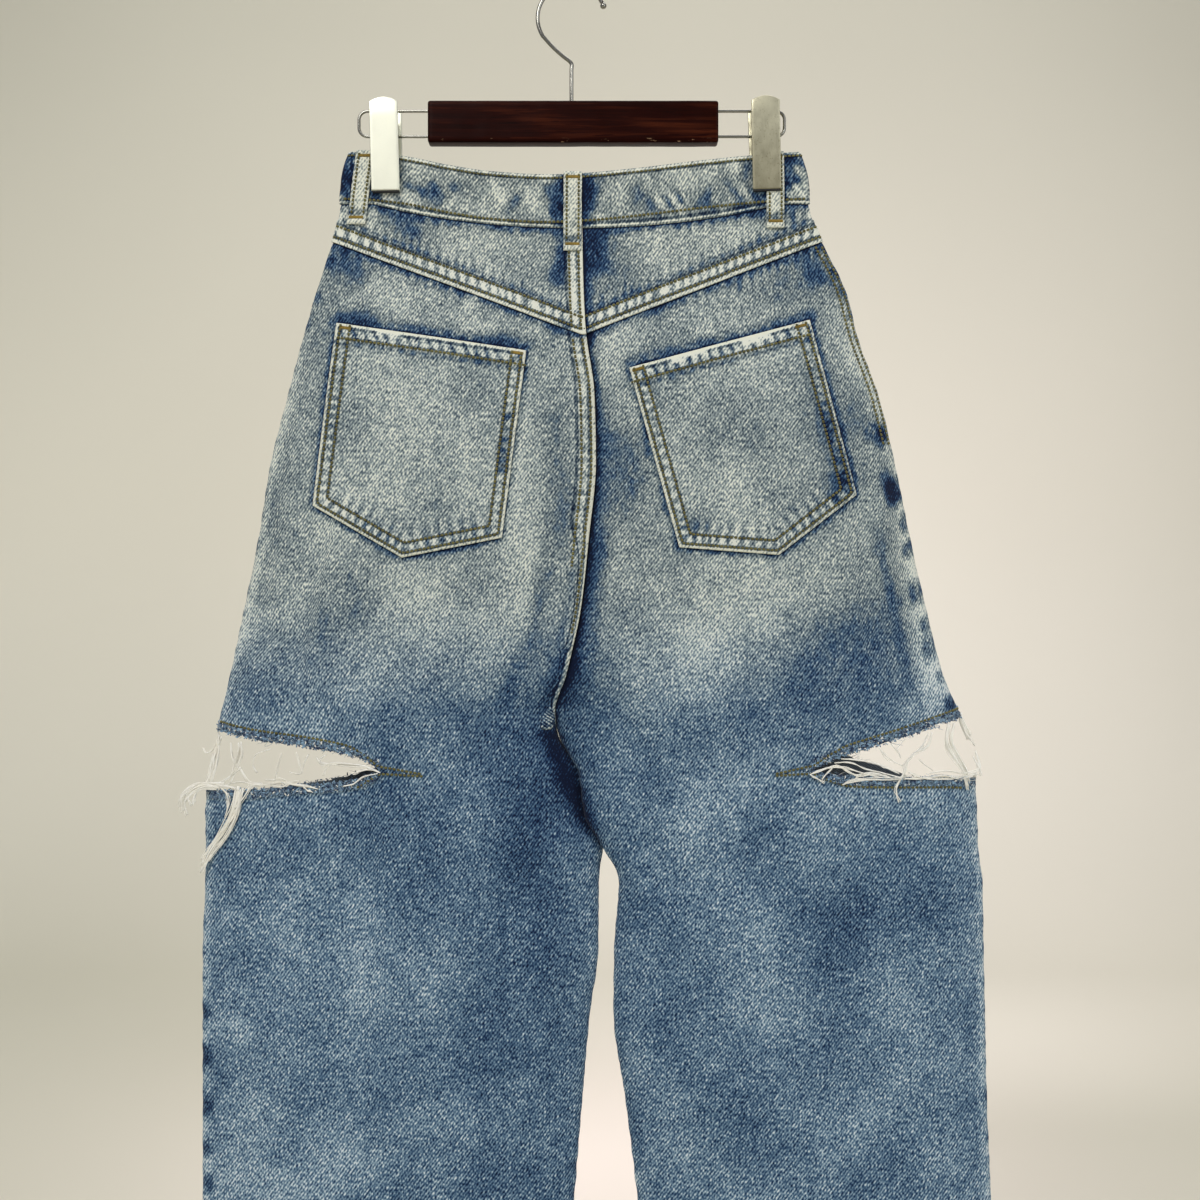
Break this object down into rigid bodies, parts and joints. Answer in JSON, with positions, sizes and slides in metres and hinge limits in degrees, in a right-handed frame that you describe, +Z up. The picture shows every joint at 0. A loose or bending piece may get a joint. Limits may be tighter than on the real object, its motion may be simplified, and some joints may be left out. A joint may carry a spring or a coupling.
{
  "type": "ripped jeans on a clip hanger",
  "caption": "Light stone-washed straight-leg denim jeans with a long frayed cut across each thigh, hung flat by the waistband from a wooden clip hanger.",
  "frame": {"origin": "hang point, at the inside of the top of the hanger's hook", "axes": "+Z up; -Y out of the back of the jeans, the side with the yoke and patch pockets; +X towards the wearer's right"},
  "size_m": [0.593, 0.0527, 1.208],
  "materials": {
    "denim": "stone-washed indigo twill, faded, with olive-gold topstitching",
    "zip_tape": "dark woven tape",
    "button_metal": "antiqued",
    "varnished_wood": "dark red-brown gloss varnish",
    "bright_nickel": "satin bright nickel plate",
    "brushed_nickel": "brushed nickel plate",
    "black_vinyl": "matt"
  },
  "bodies": {
    "root": {"back_lower_L": "denim", "back_lower_R": "denim", "back_pocket_L": "denim", "back_pocket_R": "denim", "back_upper_L": "denim", "back_upper_R": "denim", "belt_loop_back_L": "denim", "belt_loop_back_R": "denim", "belt_loop_centre": "denim", "belt_loop_front_L": "denim", "belt_loop_front_R": "denim", "clip_pad_front_L": "black_vinyl", "clip_pad_front_R": "black_vinyl", "clip_pad_rear_L": "black_vinyl", "clip_pad_rear_R": "black_vinyl", "clip_plate_front_L": "bright_nickel", "clip_plate_front_R": "brushed_nickel", "clip_plate_rear_L": "bright_nickel", "clip_plate_rear_R": "brushed_nickel", "clip_spring_L": "bright_nickel", "clip_spring_R": "brushed_nickel", "fly_shield": "denim", "fly_zip": "zip_tape", "front_lower_L": "denim", "front_lower_R": "denim", "front_pocket_facing_L": "denim", "front_pocket_facing_R": "denim", "front_upper_L": "denim", "front_upper_R": "denim", "hanger_bar": "varnished_wood", "hanger_rod_L": "bright_nickel", "hanger_rod_R": "bright_nickel", "hook": "bright_nickel", "hook_tip": "bright_nickel", "waist_button": "button_metal", "waistband_L": "denim", "waistband_R": "denim", "yoke_L": "denim", "yoke_R": "denim"}
  },
  "joints": []
}
